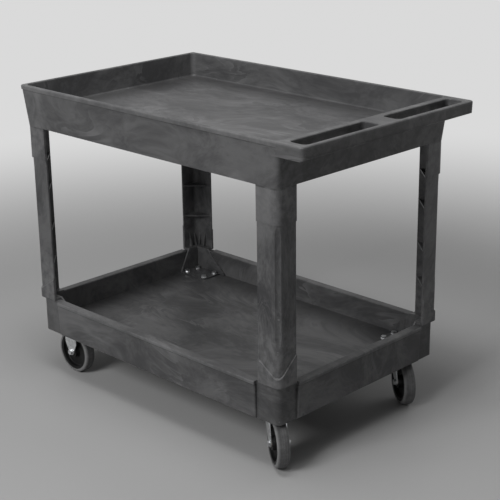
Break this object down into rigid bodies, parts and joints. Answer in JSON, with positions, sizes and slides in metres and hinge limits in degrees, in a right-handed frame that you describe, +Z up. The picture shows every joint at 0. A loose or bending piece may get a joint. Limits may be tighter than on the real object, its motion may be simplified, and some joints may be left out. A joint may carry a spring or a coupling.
{
  "type": "rolling utility cart",
  "caption": "Moulded plastic utility cart with two lipped tray shelves on ribbed corner legs, a slotted push handle, rigid front casters and swivel rear casters.",
  "frame": {"origin": "on the floor, under the middle of the overall box", "axes": "+X along the cart to the handle end, +Y across it to the right of a person pushing, +Z up"},
  "size_m": [1.0397, 0.6434, 0.845],
  "materials": {
    "tray_plastic": "satin structural foam with grey swirl mottling",
    "leg_plastic": "satin structural foam with grey flow marks",
    "wheel_plastic": "smooth moulded black",
    "tread_rubber": "matt dark grey, lightly worn",
    "zinc_pressing": "bright zinc plated pressing",
    "zinc_fastener": "bright zinc plated",
    "hard_steel": "ground steel, lightly greased",
    "bearing_bronze": "sintered bronze"
  },
  "bodies": {
    "cart_frame": {"axle_bolt_front_left": "zinc_fastener", "axle_bolt_front_right": "zinc_fastener", "axle_nut_front_left": "zinc_fastener", "axle_nut_front_right": "zinc_fastener", "axle_sleeve_front_left": "hard_steel", "axle_sleeve_front_right": "hard_steel", "bottom_tray": "tray_plastic", "caster_bolts_front_left": "zinc_fastener", "caster_bolts_front_right": "zinc_fastener", "caster_bolts_rear_left": "zinc_fastener", "caster_bolts_rear_right": "zinc_fastener", "caster_nuts_front_left": "zinc_fastener", "caster_nuts_front_right": "zinc_fastener", "caster_nuts_rear_left": "zinc_fastener", "caster_nuts_rear_right": "zinc_fastener", "caster_washers": "zinc_fastener", "fork_front_left": "zinc_pressing", "fork_front_right": "zinc_pressing", "king_bolt_rear_left": "zinc_fastener", "king_bolt_rear_right": "zinc_fastener", "king_nut_rear_left": "zinc_fastener", "king_nut_rear_right": "zinc_fastener", "leg_front_left": "leg_plastic", "leg_front_right": "leg_plastic", "leg_rear_left": "leg_plastic", "leg_rear_right": "leg_plastic", "leg_screws": "zinc_fastener", "lower_race_rear_left": "hard_steel", "lower_race_rear_right": "hard_steel", "swivel_plate_rear_left": "zinc_pressing", "swivel_plate_rear_right": "zinc_pressing", "top_tray": "tray_plastic"},
    "swivel_rear_left": {"axle_bolt_rear_left": "zinc_fastener", "axle_nut_rear_left": "zinc_fastener", "axle_sleeve_rear_left": "hard_steel", "fork_rear_left": "zinc_pressing", "lower_balls_rear_left": "hard_steel", "upper_balls_rear_left": "hard_steel"},
    "swivel_rear_right": {"axle_bolt_rear_right": "zinc_fastener", "axle_nut_rear_right": "zinc_fastener", "axle_sleeve_rear_right": "hard_steel", "fork_rear_right": "zinc_pressing", "lower_balls_rear_right": "hard_steel", "upper_balls_rear_right": "hard_steel"},
    "wheel_front_left": {"bearing_front_left": "bearing_bronze", "tread_front_left": "tread_rubber", "wheel_core_front_left": "wheel_plastic"},
    "wheel_front_right": {"bearing_front_right": "bearing_bronze", "tread_front_right": "tread_rubber", "wheel_core_front_right": "wheel_plastic"},
    "wheel_rear_left": {"bearing_rear_left": "bearing_bronze", "tread_rear_left": "tread_rubber", "wheel_core_rear_left": "wheel_plastic"},
    "wheel_rear_right": {"bearing_rear_right": "bearing_bronze", "tread_rear_right": "tread_rubber", "wheel_core_rear_right": "wheel_plastic"}
  },
  "joints": [
    {"name": "swivel_rear_left", "type": "hinge", "parent": "cart_frame", "child": "swivel_rear_left", "pos_m": [0.3595, -0.248, 0.14], "axis": [0, 0, 1], "continuous": true},
    {"name": "swivel_rear_right", "type": "hinge", "parent": "cart_frame", "child": "swivel_rear_right", "pos_m": [0.3595, 0.248, 0.14], "axis": [0, 0, 1], "continuous": true},
    {"name": "spin_front_left", "type": "hinge", "parent": "cart_frame", "child": "wheel_front_left", "pos_m": [-0.433, -0.248, 0.0635], "axis": [0, 1, 0], "continuous": true},
    {"name": "spin_front_right", "type": "hinge", "parent": "cart_frame", "child": "wheel_front_right", "pos_m": [-0.433, 0.248, 0.0635], "axis": [0, 1, 0], "continuous": true},
    {"name": "spin_rear_left", "type": "hinge", "parent": "swivel_rear_left", "child": "wheel_rear_left", "pos_m": [0.39472, -0.27087, 0.0635], "axis": [0.5446, 0.8387, 0], "continuous": true},
    {"name": "spin_rear_right", "type": "hinge", "parent": "swivel_rear_right", "child": "wheel_rear_right", "pos_m": [0.39472, 0.22512, 0.0635], "axis": [0.5446, 0.8387, 0], "continuous": true}
  ]
}
